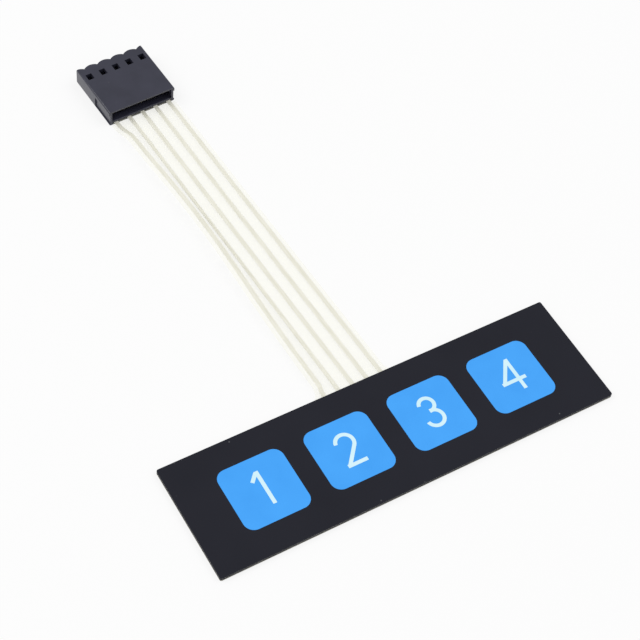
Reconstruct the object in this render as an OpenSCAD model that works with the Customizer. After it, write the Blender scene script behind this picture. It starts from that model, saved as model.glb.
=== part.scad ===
// Membrane keypad: four printed keys in a row on a thin laminated pad,
// with a clear printed tail that ends in a five-way socket connector.
// Origin at the middle of the pad's rear face, +X along the keys, +Y to the connector, +Z out of the front.

/* [Pad] */
// Width of the pad along the row of keys
pad_w = 69; // [60:0.5:90]
// Height of the pad across the row of keys
pad_h = 20; // [18:0.5:40]
// Corner radius of the pad's sheets
pad_corner_r = 0.3; // [0.1:0.1:3]

/* [Keys] */
// Side of a printed key field
key_size = 11; // [9:0.1:13]
// Corner radius of a printed key field
key_r = 1.7; // [0.5:0.1:4]
// Distance between neighbouring keys
key_pitch = 14.65; // [13.5:0.05:18]
// Thickness of the printed ink
print_t = 0.015; // [0.01:0.005:0.05]

/* [Layers] */
// Thickness of the release liner
liner_t = 0.08; // [0.05:0.01:0.2]
// Thickness of the rear adhesive
rear_glue_t = 0.05; // [0.03:0.01:0.15]
// Thickness of the circuit film and its tail
film_t = 0.125; // [0.1:0.005:0.2]
// Thickness of the printed silver traces
trace_t = 0.02; // [0.01:0.005:0.04]
// Thickness of the dome spacer
spacer_t = 0.3; // [0.25:0.01:0.6]
// Thickness of the overlay adhesive
top_glue_t = 0.05; // [0.03:0.01:0.15]
// Thickness of the graphic overlay
overlay_t = 0.2; // [0.125:0.005:0.3]

/* [Domes] */
// Diameter of a snap dome over its feet
dome_d = 9.2; // [8:0.1:10]
// Distance between two opposite trimmed sides of a dome
dome_flat = 7.2; // [6.5:0.1:8]
// Height of a dome above its feet
dome_rise = 0.28; // [0.2:0.01:0.3]
// Thickness of the dome sheet
dome_t = 0.06; // [0.04:0.01:0.1]
// Room between a dome's feet and its pocket
dome_clear = 0.6; // [0.3:0.1:1]

/* [Traces] */
// Distance between neighbouring conductors and contacts
pitch = 2.54; // [2.54:0.01:2.54]
// Width of a conductor
trace_w = 0.75; // [0.4:0.05:1]
// Diameter of a centre contact pad
centre_pad_d = 3; // [2:0.1:4]
// Width of the open ring under a dome's feet
ring_w = 1.4; // [1:0.1:1.6]
// Gap between the open ring and the key's trace
ring_gap = 0.7; // [0.4:0.1:1.2]
// Distance between two parallel traces on the pad
lane = 1.2; // [1:0.05:1.4]
// Width of a conductor's end under the tines
trace_end_w = 1.15; // [1.05:0.05:1.2]

/* [Tail] */
// Length of the tail between pad and connector
tail_len = 65.1; // [40:0.1:120]
// Film beyond the outer conductors, each side
tail_margin = 1.1; // [0.8:0.05:1.6]
// Distance of the tail from the pad's middle
tail_x = -0.58; // [-8:0.01:8]
// Sideways turn of the tail from square to the pad
tail_yaw = 3.1; // [-6:0.1:6]
// Flat length of the tail next to the pad
root_len = 2; // [2:0.1:4]
// Fillet where the tail leaves the pad
root_r = 1.4; // [0.5:0.1:1.9]
// Length of the curl's run-out at both ends of the tail
curl_run = 2.5; // [2:0.5:8]
// Lift angle of the tail's first conductor near the pad
curl_pad = 14; // [0:1:45]
// Lift angle of the tail's first conductor at mid length
curl_mid = 56; // [0:1:80]
// Lift angle of the tail's first conductor near the connector
curl_plug = 47; // [0:1:60]
// Distance of the curl's start from the tail's middle line
curl_start = 1.5; // [0.5:0.05:2]
// Width of the curl's bend across the tail
curl_arc = 3; // [2:0.1:3.2]

/* [Connector] */
// Length of the housing along the tail
house_len = 11.5; // [11.2:0.1:16]
// Wall outside the cable slot, each side
house_side = 0.58; // [0.5:0.02:1.5]
// Floor of the housing
house_floor = 0.3; // [0.25:0.05:1.2]
// Roof of the housing above the contacts
house_roof = 0.8; // [0.6:0.05:1.2]
// Edge radius of the housing along the tail
house_r = 0.3; // [0.1:0.05:0.4]
// Depth of the cable slot
slot_len = 4.6; // [4.4:0.1:5]
// Film beyond the outer conductors inside the slot, each side
neck_margin = 0.62; // [0.6:0.01:0.9]
// Room beside the film in the slot, each side
neck_clear = 0.07; // [0.05:0.01:0.4]
// Lead-in cut under the roof at the mouth of the slot
mouth_cut = 0.5; // [0.1:0.05:0.55]
// Depth of the bar that clamps the film in the mouth
clamp_len = 1.45; // [1.2:0.05:1.5]
// Thickness of the clamp bar
clamp_t = 0.3; // [0.2:0.05:0.6]
// Radius of the ears that snap the clamp bar into the walls
ear_r = 0.2; // [0.1:0.05:0.25]
// Length of the grip recess on each side
grip_len = 5; // [3:0.1:8]
// Depth of the grip recess on each side
grip_d = 0.2; // [0.1:0.05:0.25]
// Width of a window over a contact
window_w = 1.1; // [0.8:0.05:1.3]
// Length of a window over a contact
window_l = 1.3; // [0.8:0.05:1.6]
// Distance of the windows' middle from the mating end
window_y = 2.5; // [2.2:0.05:3]
// Radius of the rounded noses between the pin holes
nose_r = 2; // [1.4:0.05:2.5]
// Radius of a lead-in cone around a pin hole
funnel_r = 1.15; // [0.8:0.05:1.25]
// Side of the square pin hole
pin_hole = 0.95; // [0.8:0.05:1.1]
// Thickness of the wall with the pin holes
mate_wall = 1.2; // [1:0.05:1.6]

/* [Contacts] */
// Outside of a contact's square box
box_w = 1.7; // [1.5:0.05:1.9]
// Length of a contact's box
box_l = 3.6; // [3:0.1:4]
// Thickness of the contact sheet
sheet_t = 0.2; // [0.15:0.01:0.25]
// Room around a contact in its cavity
contact_clear = 0.075; // [0.05:0.005:0.12]
// Length of one tine along the tail
tine_l = 0.5; // [0.3:0.05:0.6]
// Room around a tine in the film
tine_clear = 0.05; // [0.03:0.01:0.1]

/* [Hidden] */
$fn = 96;
key_n = 4;
way_n = key_n + 1;
eps = 0.01;
lap = 0.1;

// Heights of the layers
z_glue = liner_t;
z_film = z_glue + rear_glue_t;
z_trace = z_film + film_t;
z_dome = z_trace + trace_t;
z_topglue = z_trace + spacer_t;
z_overlay = z_topglue + top_glue_t;
z_print = z_overlay + overlay_t;

// Domes, rings and lanes on the pad
pocket_d = dome_d + 2 * dome_clear;
ring_od = dome_d + 0.8;
ring_id = ring_od - 2 * ring_w;
dome_r = (pow(dome_d / 2, 2) + pow(dome_rise, 2)) / (2 * dome_rise);
lane_1 = pocket_d / 2 + 0.3 + trace_w / 2;
lane_2 = lane_1 + lane;
lane_3 = lane_2 + lane;
side_x = key_x(0) - pocket_d / 2 - 1;

// Tail and connector, along the tail's own middle line
pad_top = pad_h / 2;
tail_w = (way_n - 1) * pitch + 2 * tail_margin;
y_house = pad_top + tail_len;
y_mate = y_house + house_len;
y_sweep = pad_top + root_len;
y_flat = y_house - 0.6;
film_in = slot_len - 0.7;
film_edge = 0.15;
neck_w = (way_n - 1) * pitch + 2 * neck_margin;
slot_w = neck_w + 2 * neck_clear;
house_w = slot_w + 2 * house_side;
nose_d = nose_r - sqrt(pow(nose_r, 2) - pow(pitch / 2, 2));

// Heights in the connector
z_in = house_floor;
z_strip = z_in + film_t + trace_t;
cav_h = box_w + 2 * contact_clear;
z_roof = z_strip + cav_h;
house_h = z_roof + house_roof;
z_pin = z_strip + box_w / 2;
y_strip = clamp_len + 0.2;
y_box = slot_len + 0.4;
tine_ys = [y_strip + 0.55, y_strip + 1.7];
tine_out = 0.45;
tine_x = tine_out - sheet_t / 2;
clinch_gap = 0.15;

// Shape of the tail: lifted left side and rise to the connector
u_left = -tail_w / 2;
u_right = tail_w / 2;
fan_n = 4;
end_rows = 8;
mid_rows = 34;
rows = mid_rows + 2 * end_rows;

function key_x(k) = (k - (key_n - 1) / 2) * key_pitch;
function way_x(i) = tail_x + (i - (way_n - 1) / 2) * pitch;
function way_u(i) = (i - (way_n - 1) / 2) * pitch;
function ease(t) = let (c = max(0, min(1, t))) c * c * (3 - 2 * c);
function station(j) = j < 0 ? y_sweep - lap : j > rows ? y_flat + lap
  : j <= end_rows ? y_sweep + curl_run * j / end_rows
  : j >= rows - end_rows ? y_flat - curl_run * (rows - j) / end_rows
  : y_sweep + curl_run + (y_flat - y_sweep - 2 * curl_run) * (j - end_rows) / mid_rows;
function along(y) = (y - y_sweep) / (y_flat - y_sweep);
function lift(y) = ease((y - y_sweep) / curl_run) * ease((y_flat - y) / curl_run)
  * (curl_pad + (curl_plug - curl_pad) * along(y)
  + (curl_mid - (curl_pad + curl_plug) / 2) * pow(sin(180 * along(y)), 2));
function base_z(y) = z_film + (z_in - z_film) * ease((along(y) - 0.55) / 0.43);

// Angle, sideways place and height of the film's underside at width u
function turn(u, a) = a * max(0, min(1, (-curl_start - u) / curl_arc));
function bend_r(a) = curl_arc / (a * PI / 180);
function side(u, a) = u >= -curl_start || a < 0.01 ? u
  : u > -curl_start - curl_arc ? -curl_start - bend_r(a) * sin(turn(u, a))
  : -curl_start - bend_r(a) * sin(a) + (curl_start + curl_arc + u) * cos(a);
function rise(u, a) = u >= -curl_start || a < 0.01 ? 0
  : u > -curl_start - curl_arc ? bend_r(a) * (1 - cos(turn(u, a)))
  : bend_r(a) * (1 - cos(a)) - (curl_start + curl_arc + u) * sin(a);
function film_pt(u, y, h) = let (a = lift(y), t = turn(u, a))
  [tail_x + side(u, a) + h * sin(t), y, base_z(y) + rise(u, a) + h * cos(t)];

// The tail and all that it carries turn about the middle of its root on the pad's edge
module in_tail() {
  translate([tail_x, pad_top])
    rotate(tail_yaw)
      translate([-tail_x, -pad_top])
        children();
}

// Where a conductor crosses from the pad's frame into the tail's
root_in = 0.6;
function root_pt(i) = let (u = way_u(i), c = cos(tail_yaw), s = sin(tail_yaw))
  [tail_x + u * c + root_in * s, pad_top + u * s - root_in * c];

// Sheets and traces of the pad
module sheet_2d(w, h, r) {
  square([w - 2 * r, h], center = true);
  square([w, h - 2 * r], center = true);
  for (x = [-1, 1], y = [-1, 1])
    translate([x * (w / 2 - r), y * (h / 2 - r)])
      circle(r);
}

module pad_sheet(z, t) {
  translate([0, 0, z])
    linear_extrude(t)
      sheet_2d(pad_w, pad_h, pad_corner_r);
}

module dome_pockets(z, t) {
  for (k = [0 : key_n - 1])
    translate([key_x(k), 0, z - eps])
      cylinder(h = t + 2 * eps, d = pocket_d);
}

module run_x(x0, x1, y) {
  translate([min(x0, x1), y - trace_w / 2])
    square([abs(x1 - x0), trace_w]);
  for (x = [x0, x1])
    translate([x, y])
      circle(d = trace_w);
}

module run_y(x, y0, y1) {
  translate([x - trace_w / 2, min(y0, y1)])
    square([trace_w, abs(y1 - y0)]);
}

module lead_out(i, y) {
  p = root_pt(i);
  run_y(p[0], y, p[1] + lap);
  in_tail()
    run_y(way_x(i), pad_top - root_in - lap, y_sweep);
}

module open_ring(x) {
  translate([x, 0])
    difference() {
      circle(d = ring_od);
      circle(d = ring_id);
      translate([-trace_w / 2 - ring_gap, 0])
        square([trace_w + 2 * ring_gap, ring_od]);
    }
}

module common_2d() {
  for (k = [0 : key_n - 1]) {
    open_ring(key_x(k));
    run_y(key_x(k), -lane_2, -ring_od / 2 + ring_w / 2);
  }
  run_x(side_x, key_x(key_n - 1), -lane_2);
  run_y(side_x, -lane_2, lane_3);
  run_x(side_x, root_pt(0)[0], lane_3);
  lead_out(0, lane_3);
}

module key_trace_2d(k) {
  outer = k == 0 || k == key_n - 1;
  y = outer ? lane_2 : lane_1;
  translate([key_x(k), 0])
    circle(d = centre_pad_d);
  run_y(key_x(k), 0, y);
  run_x(key_x(k), root_pt(k + 1)[0], y);
  lead_out(k + 1, y);
}

module trace_2d(i) {
  if (i == 0)
    common_2d();
  else
    key_trace_2d(i - 1);
}

// A band swept along the tail between two heights above the film's underside, lapping its flat ends
module tail_band(us, h0, h1) {
  n = len(us);
  m = rows + 2;
  low = [for (j = [-1 : rows + 1]) for (u = us) film_pt(u, station(j), h0)];
  high = [for (j = [-1 : rows + 1]) for (u = us) film_pt(u, station(j), h1)];
  q = n * (m + 1);
  under = [for (j = [0 : m - 1]) for (i = [0 : n - 2]) let (a = j * n + i)
    each [[a, a + 1, a + n + 1], [a, a + n + 1, a + n]]];
  over = [for (f = under) [q + f[2], q + f[1], q + f[0]]];
  sides = [for (j = [0 : m - 1]) let (a = j * n, b = j * n + n - 1)
    each [[a, a + n, q + a + n], [a, q + a + n, q + a],
          [b, q + b, q + b + n], [b, q + b + n, b + n]]];
  ends = [for (i = [0 : n - 2]) let (a = i, b = m * n + i)
    each [[a, q + a, q + a + 1], [a, q + a + 1, a + 1],
          [b, b + 1, q + b + 1], [b, q + b + 1, q + b]]];
  polyhedron(concat(low, high), concat(under, over, sides, ends), convexity = 4);
}

// Lines along the film: both edges of the lifted conductors, their middles and a fan between them
function trace_us(i) = let (u = way_u(i), w = trace_w / 2) i < 2 ? [u - w, u, u + w] : [u - w, u + w];
fan_us = [for (i = [1 : fan_n - 1]) way_u(0) + trace_w / 2 + (pitch - trace_w) * i / fan_n];
film_us = concat([u_left], trace_us(0), fan_us, trace_us(1),
                 [way_u(1) + pitch / 2, way_u(2) - trace_w / 2, u_right]);

module tine_slots(i) {
  for (y = tine_ys, s = [-1, 1])
    translate([way_x(i) + s * tine_x, y_house + y])
      square([sheet_t + 2 * tine_clear, tine_l + 2 * tine_clear], center = true);
}

// Fillet that touches the pad's edge and one edge of the tail, no longer than the flat root
module root_fillet(s) {
  sy = sin(tail_yaw);
  cy = cos(tail_yaw);
  r = min(root_r, ((root_len - lap) * cy - tail_w / 2 * abs(sy)) / (1 + abs(sy)));
  q = r - eps;
  u = tail_w / 2 + q;
  v = (q - s * u * sy) / cy;
  translate([tail_x, pad_top])
    difference() {
      polygon([[s * u, v], [s * (tail_w / 2 - r), v], [s * (tail_w / 2 - r), -r],
               [s * u - q * sy, v - q * cy]]);
      translate([s * u, v])
        circle(r);
    }
}

module film_2d() {
  sheet_2d(pad_w, pad_h, pad_corner_r);
  in_tail() {
    translate([tail_x - tail_w / 2, 0])
      square([tail_w, y_sweep]);
    for (s = [-1, 1])
      root_fillet(s);
  }
}

module release_liner() {
  color([0.93, 0.91, 0.84])
    pad_sheet(0, liner_t);
}

module rear_adhesive() {
  color([0.86, 0.85, 0.78])
    pad_sheet(z_glue, rear_glue_t);
}

module circuit_film() {
  color([0.93, 0.92, 0.85]) {
    translate([0, 0, z_film])
      linear_extrude(film_t)
        film_2d();
    in_tail() {
      tail_band(film_us, 0, film_t);
      translate([0, 0, z_in])
        linear_extrude(film_t)
          difference() {
            translate([tail_x - neck_w / 2, y_flat])
              square([neck_w, y_house + film_in - y_flat]);
            for (i = [0 : way_n - 1])
              tine_slots(i);
          }
    }
  }
}

module trace(i) {
  color([0.80, 0.80, 0.76]) {
    translate([0, 0, z_trace])
      linear_extrude(trace_t)
        trace_2d(i);
    in_tail() {
      tail_band(trace_us(i), film_t, film_t + trace_t);
      translate([0, 0, z_in + film_t])
        linear_extrude(trace_t)
          difference() {
            union() {
              run_y(way_x(i), y_flat, y_house + 1);
              translate([way_x(i) - trace_end_w / 2, y_house + 0.6])
                square([trace_end_w, film_in - 0.6 - film_edge]);
            }
            tine_slots(i);
          }
    }
  }
}

module dome_spacer() {
  color([0.12, 0.12, 0.13])
    difference() {
      pad_sheet(z_trace, spacer_t);
      dome_pockets(z_trace, spacer_t);
      for (i = [0 : way_n - 1])
        translate([0, 0, z_trace - eps])
          linear_extrude(trace_t + eps)
            trace_2d(i);
    }
}

module snap_dome(k) {
  color([0.78, 0.78, 0.78])
    translate([key_x(k), 0, z_dome])
      intersection() {
        translate([0, 0, dome_rise - dome_r])
          difference() {
            sphere(dome_r, $fn = 180);
            sphere(dome_r - dome_t, $fn = 180);
          }
        translate([-dome_flat / 2, -dome_flat / 2, 0])
          cube([dome_flat, dome_flat, 1]);
      }
}

module overlay_adhesive() {
  color([0.86, 0.85, 0.78])
    difference() {
      pad_sheet(z_topglue, top_glue_t);
      dome_pockets(z_topglue, top_glue_t);
    }
}

module graphic_overlay() {
  color([0.07, 0.07, 0.08])
    pad_sheet(z_overlay, overlay_t);
}

module key_field(k) {
  color([0.16, 0.47, 0.92])
    translate([key_x(k), 0, z_print])
      linear_extrude(print_t)
        sheet_2d(key_size, key_size, key_r);
}

// Socket connector at the tail's end
module housing_block() {
  translate([tail_x, y_mate, house_h / 2])
    rotate([90, 0, 0])
      linear_extrude(house_len)
        sheet_2d(house_w, house_h, house_r);
}

module way_cut(i) {
  cav_w = box_w + 2 * contact_clear;
  cone_l = funnel_r - pin_hole * 0.75;
  clinch_w = 2 * (tine_out + clinch_gap);
  clinch_l = tine_ys[1] - tine_ys[0] + tine_l + 2 * clinch_gap;
  translate([way_x(i) - cav_w / 2, y_house + slot_len - eps, z_strip])
    cube([cav_w, house_len - slot_len - nose_d - mate_wall + eps, cav_h]);
  translate([way_x(i) - pin_hole / 2, y_mate - nose_d - mate_wall - eps, z_pin - pin_hole / 2])
    cube([pin_hole, nose_d + mate_wall + 2 * eps, pin_hole]);
  translate([way_x(i), y_mate - nose_d, z_pin])
    rotate([90, 0, 0])
      cylinder(h = cone_l, r1 = funnel_r, r2 = pin_hole * 0.75);
  translate([way_x(i) - window_w / 2, y_mate - window_y - window_l / 2, z_roof - eps])
    cube([window_w, window_l, house_roof + 2 * eps]);
  translate([way_x(i) - clinch_w / 2, y_house + tine_ys[0] - tine_l / 2 - clinch_gap, -eps])
    cube([clinch_w, clinch_l, house_floor + 2 * eps]);
}

// Slot for the film, with a lead-in under the roof and grooves for the clamp's ears
module slot_cut() {
  translate([tail_x - slot_w / 2, y_house - eps, house_floor])
    cube([slot_w, slot_len + eps, z_roof - house_floor]);
  translate([tail_x - slot_w / 2, y_house, z_roof])
    rotate([90, 0, 90])
      linear_extrude(slot_w)
        polygon([[-eps, -eps], [mouth_cut, -eps], [-eps, mouth_cut]]);
  for (s = [-1, 1])
    translate([tail_x + s * slot_w / 2, y_house + clamp_len / 2, z_strip])
      cylinder(h = cav_h, r = ear_r, $fn = 32);
}

module nose_cut() {
  translate([0, 0, -eps])
    linear_extrude(house_h + 2 * eps)
      difference() {
        translate([tail_x - house_w, y_mate - nose_d])
          square([2 * house_w, nose_d + eps]);
        for (i = [0 : way_n])
          translate([way_x(i) - pitch / 2, y_mate - nose_r])
            circle(nose_r);
      }
}

module grip_cut(s) {
  translate([tail_x + s * house_w / 2, y_house + grip_len / 2 - eps, (house_floor + z_roof) / 2])
    cube([2 * grip_d, grip_len + 2 * eps, z_roof - house_floor], center = true);
}

module connector_housing() {
  color([0.09, 0.09, 0.10])
    in_tail()
      difference() {
        housing_block();
        slot_cut();
        for (i = [0 : way_n - 1])
          way_cut(i);
        nose_cut();
        for (s = [-1, 1])
          grip_cut(s);
      }
}

// Bar over the film that closes the lower part of the mouth
module film_clamp() {
  lip = clamp_t * 0.4;
  color([0.09, 0.09, 0.10])
    in_tail() {
      translate([tail_x - slot_w / 2, y_house, z_strip])
        rotate([90, 0, 90])
          linear_extrude(slot_w)
            polygon([[0, 0], [clamp_len, 0], [clamp_len, clamp_t], [lip, clamp_t], [0, clamp_t - lip]]);
      for (s = [-1, 1])
        translate([tail_x + s * slot_w / 2, y_house + clamp_len / 2, z_strip])
          cylinder(h = clamp_t, r = ear_r, $fn = 32);
    }
}

// One tine: down through the film and clinched inwards under it
module tine(s) {
  mirror([s > 0 ? 0 : 1, 0, 0])
    translate([0, tine_l / 2, 0])
      rotate([90, 0, 0])
        linear_extrude(tine_l) {
          translate([tine_out - sheet_t, z_in])
            square([sheet_t, z_strip + sheet_t / 2 - z_in]);
          intersection() {
            translate([tine_out - sheet_t, z_in])
              circle(sheet_t, $fn = 48);
            translate([tine_out - sheet_t, z_in - sheet_t])
              square(sheet_t);
          }
          translate([clinch_gap / 2, z_in - sheet_t])
            square([tine_out - sheet_t - clinch_gap / 2, sheet_t]);
        }
}

// Spring leaf inside the box, bowed towards the pin
module leaf(s) {
  in_z = box_w / 2 - sheet_t;
  translate([-0.45, y_box, z_pin])
    rotate([90, 0, 90])
      linear_extrude(0.9)
        polygon([for (p = [[0.1, in_z], [0.6, in_z], [box_l - 1.1, 0.4], [box_l - 0.2, 0.58],
                           [box_l - 0.2, 0.43], [box_l - 1.1, 0.25], [0.5, in_z - 0.15], [0.1, in_z - 0.15]])
                 [p[0], s * p[1]]]);
}

module contact(i) {
  tang_y = house_len - window_y - window_l / 2 + contact_clear;
  tongue_y = min(y_box + box_l, tang_y) - 0.5;
  z_top = z_strip + box_w - sheet_t;
  color([0.80, 0.76, 0.62])
    in_tail() translate([way_x(i), y_house, 0]) {
      translate([-0.65, y_strip, z_strip])
        cube([1.3, y_box + 0.8 - y_strip, sheet_t]);
      translate([-box_w / 2, y_box, z_strip])
        difference() {
          cube([box_w, box_l, box_w]);
          translate([sheet_t, -eps, sheet_t])
            cube([box_w - 2 * sheet_t, box_l + 2 * eps, box_w - 2 * sheet_t]);
        }
      for (s = [-1, 1])
        leaf(s);
      translate([-0.35, tongue_y, z_top])
        cube([0.7, tang_y + sheet_t - tongue_y, sheet_t]);
      translate([-0.35, tang_y, z_top])
        cube([0.7, sheet_t, sheet_t + 2 * contact_clear + 0.3]);
      for (y = tine_ys, s = [-1, 1])
        translate([0, y, 0])
          tine(s);
    }
}

module key_field_1() { key_field(0); }
module key_field_2() { key_field(1); }
module key_field_3() { key_field(2); }
module key_field_4() { key_field(3); }
module snap_dome_1() { snap_dome(0); }
module snap_dome_2() { snap_dome(1); }
module snap_dome_3() { snap_dome(2); }
module snap_dome_4() { snap_dome(3); }
module trace_common() { trace(0); }
module trace_key_1() { trace(1); }
module trace_key_2() { trace(2); }
module trace_key_3() { trace(3); }
module trace_key_4() { trace(4); }
module contact_1() { contact(0); }
module contact_2() { contact(1); }
module contact_3() { contact(2); }
module contact_4() { contact(3); }
module contact_5() { contact(4); }

release_liner();
rear_adhesive();
circuit_film();
trace_common();
trace_key_1();
trace_key_2();
trace_key_3();
trace_key_4();
dome_spacer();
snap_dome_1();
snap_dome_2();
snap_dome_3();
snap_dome_4();
overlay_adhesive();
graphic_overlay();
key_field_1();
key_field_2();
key_field_3();
key_field_4();
connector_housing();
film_clamp();
contact_1();
contact_2();
contact_3();
contact_4();
contact_5();
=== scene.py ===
import bpy
import bmesh
import math
from mathutils import Matrix, Vector


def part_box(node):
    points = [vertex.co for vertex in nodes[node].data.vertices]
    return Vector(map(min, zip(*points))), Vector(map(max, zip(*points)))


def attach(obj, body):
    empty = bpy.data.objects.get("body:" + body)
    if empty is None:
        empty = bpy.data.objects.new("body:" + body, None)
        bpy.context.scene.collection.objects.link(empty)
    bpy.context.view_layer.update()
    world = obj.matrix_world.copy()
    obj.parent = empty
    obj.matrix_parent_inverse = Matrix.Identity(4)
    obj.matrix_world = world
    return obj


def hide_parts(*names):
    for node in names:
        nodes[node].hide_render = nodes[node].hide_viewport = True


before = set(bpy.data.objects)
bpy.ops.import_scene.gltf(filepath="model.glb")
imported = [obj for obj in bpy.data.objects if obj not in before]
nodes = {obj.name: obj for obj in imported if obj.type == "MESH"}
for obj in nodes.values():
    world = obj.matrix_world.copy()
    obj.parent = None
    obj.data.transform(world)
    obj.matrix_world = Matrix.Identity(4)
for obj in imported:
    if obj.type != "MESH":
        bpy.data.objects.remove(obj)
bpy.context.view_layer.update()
mm = 0.001
tailTurn = 3.1  # degrees from the pad's square to the tail
keys = ["1", "2", "3", "4"]
ways = ["1", "2", "3", "4", "5"]
print("frame loaded,", len(nodes), "CAD nodes")


# camera, at the photograph's view
cameraSetup = {
    "place": (-0.094407, -0.103544, 0.214125),
    "angles": (36.256, -5.015, -30.213),  # degrees, XYZ
    "lens": 94.96,
    "sensor": 36.0,
    "clip": (0.01, 20.0),
}


def makeCamera(setup):
    data = bpy.data.cameras.new("photoCamera")
    data.lens = setup["lens"]
    data.sensor_fit = "HORIZONTAL"
    data.sensor_width = setup["sensor"]
    data.clip_start, data.clip_end = setup["clip"]
    cam = bpy.data.objects.new("photoCamera", data)
    cam.location = setup["place"]
    cam.rotation_euler = [math.radians(a) for a in setup["angles"]]
    bpy.context.scene.collection.objects.link(cam)
    bpy.context.scene.camera = cam


makeCamera(cameraSetup)
bpy.context.scene.view_settings.view_transform = "Standard"
print("camera set")


# small helpers for node trees
def addNode(tree, kind, values=None, **options):
    node = tree.nodes.new(kind)
    for key, value in options.items():
        setattr(node, key, value)
    for key, value in (values or {}).items():
        node.inputs[key].default_value = value
    return node


def spread(tree, source, fromLow, fromHigh, toLow=0.0, toHigh=1.0):
    node = addNode(tree, "ShaderNodeMapRange", {
        "From Min": fromLow, "From Max": fromHigh,
        "To Min": toLow, "To Max": toHigh,
    })
    tree.links.new(source, node.inputs["Value"])
    return node.outputs["Result"]


def calculate(tree, operation, a, b):
    node = addNode(tree, "ShaderNodeMath", operation=operation)
    tree.links.new(a, node.inputs[0])
    tree.links.new(b, node.inputs[1])
    return node.outputs[0]


def blendColour(tree, mask, low, high):
    node = addNode(tree, "ShaderNodeMix", data_type="RGBA")
    tree.links.new(mask, node.inputs[0])
    for socket, colour in ((node.inputs[6], low), (node.inputs[7], high)):
        if isinstance(colour, tuple):
            socket.default_value = (*colour, 1.0)
        else:
            tree.links.new(colour, socket)
    return node.outputs[2]


def placeGroup(tree, group, values):
    node = tree.nodes.new("ShaderNodeGroup")
    node.node_tree = group
    for socket, value in zip(node.inputs, values):
        socket.default_value = value
    return node


def newGroup(name, inputs, outputs):
    tree = bpy.data.node_groups.new(name, "ShaderNodeTree")
    for label, default in inputs.items():
        socket = tree.interface.new_socket(label, in_out="INPUT", socket_type="NodeSocketFloat")
        socket.default_value = default
    for label in outputs:
        tree.interface.new_socket(label, in_out="OUTPUT", socket_type="NodeSocketFloat")
    point = tree.nodes.new("ShaderNodeTexCoord").outputs["Object"]
    return tree, tree.nodes.new("NodeGroupInput"), tree.nodes.new("NodeGroupOutput"), point


# fine even tooth with slow unevenness, for moulded plastic, coated film, ink and paper
def makeGrain():
    tree, start, end, point = newGroup("surfaceGrain", {"Fine": 6000.0, "Slow": 180.0}, ["Height", "Tone"])
    fine = addNode(tree, "ShaderNodeTexNoise", {"Detail": 3.0, "Roughness": 0.6})
    slow = addNode(tree, "ShaderNodeTexNoise", {"Detail": 2.0})
    for noise, label in ((fine, "Fine"), (slow, "Slow")):
        tree.links.new(point, noise.inputs["Vector"])
        tree.links.new(start.outputs[label], noise.inputs["Scale"])
    tree.links.new(fine.outputs["Fac"], end.inputs["Height"])
    tree.links.new(spread(tree, slow.outputs["Fac"], 0.3, 0.7), end.inputs["Tone"])
    return tree


# streaks left by a squeegee or by rolling, drawn out along the tail
def makeStreaks(turn):
    tree, start, end, point = newGroup("drawnStreaks", {"Across": 1500.0, "Along": 40.0}, ["Height", "Tone"])
    line = addNode(tree, "ShaderNodeVectorRotate", {"Angle": math.radians(-turn)}, rotation_type="Z_AXIS")
    tree.links.new(point, line.inputs["Vector"])
    pull = addNode(tree, "ShaderNodeCombineXYZ")
    for label, axis in (("Across", "X"), ("Along", "Y"), ("Along", "Z")):
        tree.links.new(start.outputs[label], pull.inputs[axis])
    stretch = addNode(tree, "ShaderNodeVectorMath", operation="MULTIPLY")
    tree.links.new(line.outputs[0], stretch.inputs[0])
    tree.links.new(pull.outputs[0], stretch.inputs[1])
    noise = addNode(tree, "ShaderNodeTexNoise", {"Scale": 1.0, "Detail": 3.0})
    tree.links.new(stretch.outputs[0], noise.inputs["Vector"])
    tree.links.new(noise.outputs["Fac"], end.inputs["Height"])
    tree.links.new(spread(tree, noise.outputs["Fac"], 0.3, 0.7), end.inputs["Tone"])
    return tree


# loose pale specks in a few cells, gathered in patches
def makeDust():
    inputs = {"Cells": 700.0, "Speck": 0.12, "Patches": 40.0}
    tree, start, end, point = newGroup("looseDust", inputs, ["Mask"])
    cells = addNode(tree, "ShaderNodeTexVoronoi", feature="F1")
    patch = addNode(tree, "ShaderNodeTexNoise", {"Detail": 1.0})
    for node, label in ((cells, "Cells"), (patch, "Patches")):
        tree.links.new(point, node.inputs["Vector"])
        tree.links.new(start.outputs[label], node.inputs["Scale"])
    near = calculate(tree, "LESS_THAN", cells.outputs["Distance"], start.outputs["Speck"])
    pick = addNode(tree, "ShaderNodeSeparateColor")
    tree.links.new(cells.outputs["Color"], pick.inputs[0])
    few = spread(tree, pick.outputs[0], 0.8, 0.95)
    some = spread(tree, patch.outputs["Fac"], 0.45, 0.65)
    mask = calculate(tree, "MULTIPLY", calculate(tree, "MULTIPLY", near, few), some)
    tree.links.new(mask, end.inputs["Mask"])
    return tree


grainGroup = makeGrain()
streakGroup = makeStreaks(tailTurn)
dustGroup = makeDust()
print("shared effects ready")


# one finish: two tones, a roughness range and a relief from a group, specks where they show
def makeFinish(name, look):
    mat = bpy.data.materials.new(name)
    mat.use_nodes = True
    tree = mat.node_tree
    shader = tree.nodes["Principled BSDF"]
    effect = placeGroup(tree, look["effect"], look["scale"])
    colour = blendColour(tree, effect.outputs["Tone"], *look["tones"])
    if "specks" in look:
        dust = placeGroup(tree, dustGroup, look["specks"])
        colour = blendColour(tree, dust.outputs["Mask"], colour, look["speckTone"])
    tree.links.new(colour, shader.inputs["Base Color"])
    rough = spread(tree, effect.outputs["Tone"], 0.0, 1.0, *look["rough"])
    tree.links.new(rough, shader.inputs["Roughness"])
    strength, depth = look["relief"]
    relief = addNode(tree, "ShaderNodeBump", {"Strength": strength, "Distance": depth})
    tree.links.new(effect.outputs["Height"], relief.inputs["Height"])
    tree.links.new(relief.outputs["Normal"], shader.inputs["Normal"])
    for key, value in look["fixed"].items():
        shader.inputs[key].default_value = value
    return mat


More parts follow.
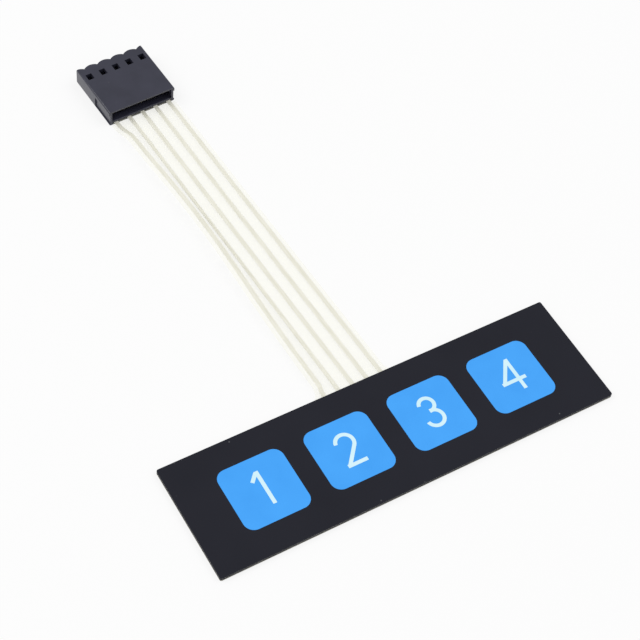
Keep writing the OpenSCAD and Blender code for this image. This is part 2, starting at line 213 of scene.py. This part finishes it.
# matt hard-coated film, almost black
overlayLook = {
    "effect": grainGroup, "scale": (9000.0, 90.0),
    "tones": ((0.0118, 0.0125, 0.0198), (0.0150, 0.0157, 0.0238)),
    "rough": (0.58, 0.70), "relief": (0.5, 0.000012),
    "specks": (800.0, 0.10, 45.0), "speckTone": (0.16, 0.16, 0.17),
    "fixed": {"Specular IOR Level": 0.16},
}
# screen-printed inks on it
keyLook = {
    "effect": grainGroup, "scale": (8000.0, 220.0),
    "tones": ((0.049, 0.362, 0.945), (0.057, 0.388, 0.985)),
    "rough": (0.52, 0.64), "relief": (0.4, 0.000010),
    "fixed": {"Specular IOR Level": 0.30},
}
numeralLook = {
    "effect": grainGroup, "scale": (8000.0, 300.0),
    "tones": ((0.62, 0.88, 0.97), (0.70, 0.92, 0.99)),
    "rough": (0.50, 0.62), "relief": (0.4, 0.000010),
    "fixed": {"Specular IOR Level": 0.30},
}
# clear polyester film with a faint warm cast, and the silver ink on it
filmLook = {
    "effect": streakGroup, "scale": (260.0, 45.0),
    "tones": ((1.0, 0.97, 0.55), (1.0, 0.98, 0.66)),
    "rough": (0.16, 0.26), "relief": (0.10, 0.000020),
    "fixed": {"Alpha": 0.07, "IOR": 1.57},
}
silverLook = {
    "effect": streakGroup, "scale": (5200.0, 260.0),
    "tones": ((0.815, 0.80, 0.68), (0.915, 0.90, 0.80)),
    "rough": (0.40, 0.55), "relief": (0.5, 0.000008),
    "fixed": {"Metallic": 0.15, "Specular IOR Level": 0.4},
}
# layers inside the pad and on its rear face
spacerLook = {
    "effect": grainGroup, "scale": (5000.0, 150.0),
    "tones": ((0.010, 0.010, 0.013), (0.016, 0.016, 0.020)),
    "rough": (0.45, 0.60), "relief": (0.3, 0.000010),
    "fixed": {"Specular IOR Level": 0.3},
}
adhesiveLook = {
    "effect": grainGroup, "scale": (2500.0, 120.0),
    "tones": ((0.10, 0.10, 0.10), (0.16, 0.16, 0.15)),
    "rough": (0.25, 0.40), "relief": (0.5, 0.000020),
    "fixed": {"Alpha": 0.6},
}
domeLook = {
    "effect": streakGroup, "scale": (9000.0, 120.0),
    "tones": ((0.52, 0.51, 0.49), (0.64, 0.63, 0.61)),
    "rough": (0.20, 0.34), "relief": (0.4, 0.000006),
    "fixed": {"Metallic": 1.0},
}
linerLook = {
    "effect": grainGroup, "scale": (1400.0, 90.0),
    "tones": ((0.84, 0.82, 0.73), (0.90, 0.88, 0.80)),
    "rough": (0.40, 0.55), "relief": (0.5, 0.000025),
    "fixed": {"Specular IOR Level": 0.4},
}
# moulded plastic, and tinned contacts with painted shade: their tone is darker than tin, for the shade
# inside the connector's mouth
housingLook = {
    "effect": grainGroup, "scale": (5200.0, 260.0),
    "tones": ((0.0300, 0.0310, 0.0490), (0.0370, 0.0380, 0.0600)),
    "rough": (0.24, 0.34), "relief": (0.3, 0.000008),
    "specks": (1100.0, 0.08, 120.0), "speckTone": (0.10, 0.10, 0.11),
    "fixed": {"Specular IOR Level": 0.5},
}
shadeDarkContactLook = {
    "effect": streakGroup, "scale": (6000.0, 300.0),
    # painted shade: tones far darker than bright tin, for the shade the contacts sit in
    "tones": ((0.20, 0.19, 0.17), (0.28, 0.27, 0.25)),
    "rough": (0.50, 0.62), "relief": (0.4, 0.000008),
    "fixed": {"Metallic": 1.0},
}

finishes = {
    "overlay_film": makeFinish("mattBlackFilm", overlayLook),
    "key_ink": makeFinish("blueKeyInk", keyLook),
    "numeral_ink": makeFinish("paleNumeralInk", numeralLook),
    "clear_film": makeFinish("clearFilm", filmLook),
    "silver_ink": makeFinish("silverInk", silverLook),
    "spacer_film": makeFinish("blackSpacer", spacerLook),
    "adhesive": makeFinish("clearAdhesive", adhesiveLook),
    "dome_steel": makeFinish("domeSteel", domeLook),
    "liner_paper": makeFinish("linerPaper", linerLook),
    "housing_plastic": makeFinish("mouldedBlack", housingLook),
    "contact_metal": makeFinish("tinnedBronzePaintedShade", shadeDarkContactLook),
}
print("finishes made:", len(finishes))


# CAD nodes that stay as they are, in better finishes
keptNodes = {
    "liner_paper": ["release_liner"],
    "adhesive": ["rear_adhesive", "overlay_adhesive"],
    "spacer_film": ["dome_spacer"],
    "overlay_film": ["graphic_overlay"],
    "key_ink": ["key_field_" + k for k in keys],
    "dome_steel": ["snap_dome_" + k for k in keys],
}
for finish, names in keptNodes.items():
    for name in names:
        for slot in nodes[name].material_slots:
            slot.material = finishes[finish]
print("kept nodes dressed")


def finishPiece(bm, name, finish, slotName, *replaced):
    mesh = bpy.data.meshes.new(name)
    bm.to_mesh(mesh)
    bm.free()
    mesh.materials.append(finishes[finish])
    piece = bpy.data.objects.new(name, mesh)
    bpy.context.scene.collection.objects.link(piece)
    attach(piece, "root")
    if replaced:
        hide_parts(*replaced)


# narrow faces are shaded round up to an angle, broad ones stay flat
def smoothBelow(bm, degrees, broad):
    for face in bm.faces:
        face.smooth = face.calc_area() < broad * mm * mm
    for edge in bm.edges:
        edge.smooth = edge.is_manifold and edge.calc_face_angle() < math.radians(degrees)


# a welded copy of a CAD node, with its flat faces joined and its sharp edges broken
def refine(nodeName, setup, lie=None, above=0.0):
    bm = bmesh.new()
    bm.from_mesh(nodes[nodeName].data)
    bmesh.ops.remove_doubles(bm, verts=bm.verts, dist=setup["weld"] * mm)
    if lie:
        layTail(bm, lie, above)
    bmesh.ops.dissolve_limit(bm, angle_limit=math.radians(setup["join"]), verts=bm.verts,
                             edges=bm.edges, use_dissolve_boundaries=False)
    if setup["edge"]:
        limit = math.radians(setup["sharp"])
        sharp = [e for e in bm.edges if e.is_manifold and e.calc_face_angle() > limit]
        bmesh.ops.bevel(bm, geom=sharp, offset=setup["edge"] * mm, offset_type="OFFSET", affect="EDGES",
                        segments=setup["rounds"], profile=0.5, material=-1, clamp_overlap=True)
    smoothBelow(bm, setup["sharp"], setup["broad"])
    return bm


# flexible tail, in its own frame: u across and v along it from the pad's edge, in mm and degrees
# the solids curl evenly; here the same film is unrolled, then laid with a step beside its first conductor
tailLie = {
    "root": (-0.58, 10.0),  # where it leaves the pad
    "turn": tailTurn,
    "start": 2.0,
    "end": 64.5,
    "margins": (0.1, 0.2),  # points are laid from this far off the pad to this far past the end
    "underside": (0.13, 0.30),  # height at the pad and at the connector
    "rise": (0.55, 0.43),  # where the underside rises and for how long, in shares of the length
    "curl": {"angles": (14.0, 56.0, 47.0), "skew": 1.0, "from": 2.0, "runs": (2.5, 2.5)},
    "bend": (1.5, 3.0),  # where the curl starts across the film, and its arc
    "level": 0.0002,  # radians below which the film counts as level
    "step": {"angles": (25.0, 63.0, 38.0), "skew": 1.25, "from": 0.15, "runs": (2.2, 5.0)},
    "ramps": (-2.5, -3.1, -4.2, -4.8),  # across: the step starts, reaches its slope, eases off and ends
    "slices": 40,
    "cutsAcross": [-2.5 - 0.115 * i for i in range(21)],
    "cutsAlong": [0.15 + 0.3 * i for i in range(7)],
    "cutWeld": 0.002,
    "above": 0.003,  # ink and film faces don't coincide
}


def ease(t):
    t = min(1.0, max(0.0, t))
    return t * t * (3.0 - 2.0 * t)


# the lift sets in by the distance away from the pad, swells along the tail and runs out at the connector
def liftAngle(v, away, lie, lift):
    pad, middle, plug = lift["angles"]
    padRun, plugRun = lift["runs"]
    t = (v - lift["from"]) / (lie["end"] - lift["from"])
    if not 0.0 < t < 1.0:
        return 0.0
    swell = (middle - (pad + plug) / 2) * math.sin(math.pi * t ** lift["skew"]) ** 2
    ends = ease((away - lift["from"]) / padRun) * ease((lie["end"] - v) / plugRun)
    return math.radians(ends * (pad + (plug - pad) * t + swell))


def undersideAt(v, lie):
    low, high = lie["underside"]
    begin, length = lie["rise"]
    t = (v - lie["start"]) / (lie["end"] - lie["start"])
    return low + (high - low) * ease((t - begin) / length)


# place across and height above the underside of the unrolled film
def unrollPoint(x, z, angle, lie):
    start, arc = lie["bend"]
    if angle < lie["level"] or x >= -start:
        return x, z
    radius = arc / angle
    swung = math.atan2(-start - x, radius - z)
    if swung <= angle:
        return -start - arc * swung / angle, radius - math.hypot(start + x, radius - z)
    dx = x + start + radius * math.sin(angle)
    dz = z - radius * (1.0 - math.cos(angle))
    u = dx * math.cos(angle) - dz * math.sin(angle) - start - arc
    return u, dx * math.sin(angle) + dz * math.cos(angle)


# follows the sloping film from the foot of the step, so its width across stays the same
def stepPoint(u, h, peak, lie):
    foot, steep, easing, top = lie["ramps"]
    if u >= foot:
        return u, h

    def slopeAt(w):
        return peak * ease((foot - w) / (foot - steep)) * ease((w - top) / (easing - top))

    x, z = foot, 0.0
    part = (foot - u) / lie["slices"]
    for i in range(lie["slices"]):
        slope = slopeAt(foot - (i + 0.5) * part)
        x -= math.cos(slope) * part
        z += math.sin(slope) * part
    slope = slopeAt(u)
    return x + h * math.sin(slope), z + h * math.cos(slope)


def cutTail(bm, lie, outward, onTail):
    weld = lie["cutWeld"] * mm
    for away in lie["cutsAlong"]:
        bmesh.ops.bisect_plane(bm, geom=bm.verts[:] + bm.edges[:] + bm.faces[:], dist=weld,
                               plane_co=outward * away * mm, plane_no=outward)
    for u in lie["cutsAcross"]:
        faces = [f for f in bm.faces if all(onTail(v) for v in f.verts)]
        around = set(faces) | {e for f in faces for e in f.edges} | {v for f in faces for v in f.verts}
        bmesh.ops.bisect_plane(bm, geom=list(around), dist=weld, plane_co=(u * mm, 0, 0), plane_no=(1, 0, 0))


def layTail(bm, lie, above):
    tilt = math.radians(lie["turn"])
    seat = Matrix.Translation(Vector((*lie["root"], 0.0)) * mm) @ Matrix.Rotation(tilt, 4, "Z")
    outward = Vector((math.sin(tilt), math.cos(tilt), 0.0))  # square to the pad's edge
    besidePad, pastEnd = lie["margins"]

    def onTail(vert):
        return vert.co.dot(outward) > besidePad * mm and vert.co.y < (lie["end"] + pastEnd) * mm

    bmesh.ops.transform(bm, matrix=seat.inverted(), verts=bm.verts)
    # unroll the curl of the solids
    for vert in filter(onTail, bm.verts):
        v = vert.co.y / mm
        base = undersideAt(v, lie)
        angle = liftAngle(v, v, lie, lie["curl"])
        u, h = unrollPoint(vert.co.x / mm, vert.co.z / mm - base, angle, lie)
        vert.co.x, vert.co.z = u * mm, (base + h) * mm
    cutTail(bm, lie, outward, onTail)
    bmesh.ops.translate(bm, vec=(0, 0, above * mm), verts=bm.verts)
    # lay the flat film again, with the step
    for vert in filter(onTail, bm.verts):
        v = vert.co.y / mm
        base = undersideAt(v, lie)
        angle = liftAngle(v, vert.co.dot(outward) / mm, lie, lie["step"])
        x, z = stepPoint(vert.co.x / mm, vert.co.z / mm - base, angle, lie)
        vert.co.x, vert.co.z = x * mm, (base + z) * mm
    bmesh.ops.transform(bm, matrix=seat, verts=bm.verts)


# lengths in mm, angles in degrees, broad in square mm
tailSetup = {"weld": 0.001, "join": 0.05, "edge": 0.0, "sharp": 35, "broad": 20.0}
bm = refine("circuit_film", tailSetup, tailLie)
finishPiece(bm, "circuitFilm", "clear_film", "clear_film", "circuit_film")
for name in ["trace_common"] + ["trace_key_" + k for k in keys]:
    bm = refine(name, tailSetup, tailLie, tailLie["above"])
    finishPiece(bm, "printed_" + name, "silver_ink", "silver_ink", name)
print("film and conductors done")


# connector: moulded housing and stamped contacts
housingSetup = {"weld": 0.001, "join": 0.2, "edge": 0.05, "rounds": 2, "sharp": 40, "broad": 0.8}
contactSetup = {"weld": 0.001, "join": 0.2, "edge": 0.02, "rounds": 1, "sharp": 40, "broad": 0.3}
for name, pieceName in (("connector_housing", "connectorHousing"), ("film_clamp", "filmClamp")):
    finishPiece(refine(name, housingSetup), pieceName, "housing_plastic", "housing_plastic", name)
for k in ways:
    name = "contact_" + k
    finishPiece(refine(name, contactSetup), "contactSpring" + k, "contact_metal", "contact_metal", name)
print("connector done")


# numerals: each is drawn with a pen of one width, in mm about its key's centre
# a stroke starts at x, y and a heading in degrees, then runs on in lines and arcs
numeralSetup = {
    "pen": 0.62,
    "ink": 0.012,  # thickness
    "lift": 0.15,  # towards the key's upper edge
    "facet": 8.0,  # degrees
    "weld": 0.0001,
    "1": [(0.35, -3.0, 90, [("line", 6.0)]),
          (-1.02, 1.48, 47, [("line", 1.82)])],
    "2": [(-1.44, 1.45, 82, [("arc", 1.45, -212), ("line", 3.72)]),
          (-1.66, -2.6, 0, [("line", 3.4)])],
    "3": [(-1.20, 1.60, 80, [("arc", 1.22, -260), ("line", 0.15)]),
          (-0.15, 0.24, 0, [("line", 0.15), ("arc", 1.42, -260)])],
    "4": [(1.0, -3.0, 90, [("line", 6.0)]),
          (0.93, 2.74, 235.6, [("line", 4.62)]),
          (-2.05, -1.05, 0, [("line", 4.3)])],
}


def only(kind, geom):
    return [g for g in geom if isinstance(g, kind)]


def layStroke(x, y, heading, steps, setup):
    bm = bmesh.new()
    angle = math.radians(heading)
    side = Vector((-math.sin(angle), math.cos(angle), 0.0)) * setup["pen"] / 2
    here = Vector((x, y, 0.0))
    nib = bm.edges.new((bm.verts.new(here + side), bm.verts.new(here - side)))
    for step in steps:
        ahead = Vector((math.cos(angle), math.sin(angle), 0.0))
        left = Vector((-ahead.y, ahead.x, 0.0))
        if step[0] == "line":
            made = bmesh.ops.extrude_edge_only(bm, edges=[nib])["geom"]
            bmesh.ops.translate(bm, verts=only(bmesh.types.BMVert, made), vec=ahead * step[1])
            here += ahead * step[1]
        else:
            radius, turn = step[1], math.radians(step[2])
            centre = here + left * math.copysign(radius, turn)
            facets = max(2, round(abs(step[2]) / setup["facet"]))
            made = bmesh.ops.spin(bm, geom=[nib, *nib.verts], cent=centre, axis=(0, 0, 1), angle=turn,
                                  steps=facets, use_duplicate=False)["geom_last"]
            here = centre + Matrix.Rotation(turn, 3, "Z") @ (here - centre)
            angle += turn
        nib = only(bmesh.types.BMEdge, made)[0]
    raised = bmesh.ops.extrude_face_region(bm, geom=bm.faces[:])["geom"]
    bmesh.ops.translate(bm, verts=only(bmesh.types.BMVert, raised), vec=(0, 0, 1))
    bmesh.ops.remove_doubles(bm, verts=bm.verts, dist=setup["weld"])
    bmesh.ops.recalc_face_normals(bm, faces=bm.faces)
    mesh = bpy.data.meshes.new("stroke")
    bm.to_mesh(mesh)
    bm.free()
    stroke = bpy.data.objects.new("stroke", mesh)
    bpy.context.scene.collection.objects.link(stroke)
    return stroke


def printNumeral(digit, setup):
    strokes = [layStroke(*s, setup) for s in setup[digit]]
    for other in strokes[1:]:
        join = strokes[0].modifiers.new("join", "BOOLEAN")
        join.operation = "UNION"
        join.solver = "EXACT"
        join.object = other
    bpy.context.view_layer.update()
    bm = bmesh.new()
    bm.from_object(strokes[0], bpy.context.evaluated_depsgraph_get())
    for stroke in strokes:
        bpy.data.objects.remove(stroke)
    low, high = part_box("key_field_" + digit)
    bmesh.ops.scale(bm, vec=(mm, mm, setup["ink"] * mm), verts=bm.verts)
    centre = (low + high) / 2
    bmesh.ops.translate(bm, vec=(centre.x, centre.y + setup["lift"] * mm, high.z), verts=bm.verts)
    finishPiece(bm, "numeral" + digit, "numeral_ink", "key_ink")


for k in keys:
    printNumeral(k, numeralSetup)
print("numerals printed")


# plain white floor and soft light
studioSetup = {
    "floor": 3.0,
    "drop": 0.00002,
    "floorTone": 0.90,
    "glow": 0.80,
    "inset": 0.0012,  # from the connector's box to the floor in its shade
    "fade": 0.97,
    "sky": 0.52,
    "lamps": [((-0.55, 0.35, 0.75), 0.7, 4.2), ((0.6, -0.2, 0.8), 0.7, 2.9)],  # place, size, watts
    "aim": (0, 0.02, 0),
}


# 1 where the floor is seen straight, in a gloss or through film
def seenMask(tree):
    path = tree.nodes.new("ShaderNodeLightPath").outputs
    either = calculate(tree, "MAXIMUM", path["Is Camera Ray"], path["Is Glossy Ray"])
    return calculate(tree, "MAXIMUM", either, path["Is Transmission Ray"])


# 0 on the floor below the connector, where no light falls, and 1 elsewhere
def openFloor(tree, setup):
    low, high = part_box("connector_housing")
    half = (high - low) / 2 - Vector((setup["inset"], setup["inset"], 0.0))
    place = tree.nodes.new("ShaderNodeTexCoord")
    below = addNode(tree, "ShaderNodeMapping", {
        "Location": (low + high) / 2,
        "Rotation": (0, 0, math.radians(tailTurn)),
        "Scale": (half.x, half.y, 1.0),
    }, vector_type="TEXTURE")
    reach = addNode(tree, "ShaderNodeVectorMath", operation="ABSOLUTE")
    parts = tree.nodes.new("ShaderNodeSeparateXYZ")
    tree.links.new(place.outputs["Object"], below.inputs["Vector"])
    tree.links.new(below.outputs["Vector"], reach.inputs[0])
    tree.links.new(reach.outputs["Vector"], parts.inputs[0])
    wider = calculate(tree, "MAXIMUM", parts.outputs["X"], parts.outputs["Y"])
    return spread(tree, wider, setup["fade"], 1.0)


def makeStudio(setup):
    bm = bmesh.new()
    bmesh.ops.create_grid(bm, x_segments=4, y_segments=4, size=setup["floor"] / 2)
    bmesh.ops.translate(bm, vec=(0, 0, -setup["drop"]), verts=bm.verts)
    mesh = bpy.data.meshes.new("studioFloor")
    bm.to_mesh(mesh)
    bm.free()
    floor = bpy.data.objects.new("studioFloor", mesh)
    bpy.context.scene.collection.objects.link(floor)
    mat = bpy.data.materials.new("studioWhite")
    mat.use_nodes = True
    tree = mat.node_tree
    tree.nodes.remove(tree.nodes["Principled BSDF"])
    diffuse = addNode(tree, "ShaderNodeBsdfDiffuse", {"Color": (*[setup["floorTone"]] * 3, 1.0)})
    glow = addNode(tree, "ShaderNodeEmission", {"Color": (1, 1, 1, 1), "Strength": 1.0})
    mix = tree.nodes.new("ShaderNodeMixShader")
    seen = spread(tree, seenMask(tree), 0.0, 1.0, 0.0, setup["glow"])
    share = calculate(tree, "MULTIPLY", seen, openFloor(tree, setup))
    tree.links.new(share, mix.inputs[0])
    tree.links.new(diffuse.outputs[0], mix.inputs[1])
    tree.links.new(glow.outputs[0], mix.inputs[2])
    tree.links.new(mix.outputs[0], tree.nodes["Material Output"].inputs["Surface"])
    mesh.materials.append(mat)

    world = bpy.data.worlds.new("studioSky")
    bpy.context.scene.world = world
    world.use_nodes = True
    back = world.node_tree.nodes["Background"]
    back.inputs["Color"].default_value = (1, 1, 1, 1)
    back.inputs["Strength"].default_value = setup["sky"]

    for i, (place, size, watts) in enumerate(setup["lamps"]):
        name = "softbox" + str(i + 1)
        data = bpy.data.lights.new(name, "AREA")
        data.shape = "SQUARE"
        data.size = size
        data.energy = watts
        lamp = bpy.data.objects.new(name, data)
        lamp.location = place
        ahead = Vector(setup["aim"]) - Vector(place)
        lamp.rotation_euler = ahead.to_track_quat("-Z", "Y").to_euler()
        bpy.context.scene.collection.objects.link(lamp)


makeStudio(studioSetup)
print("studio ready")
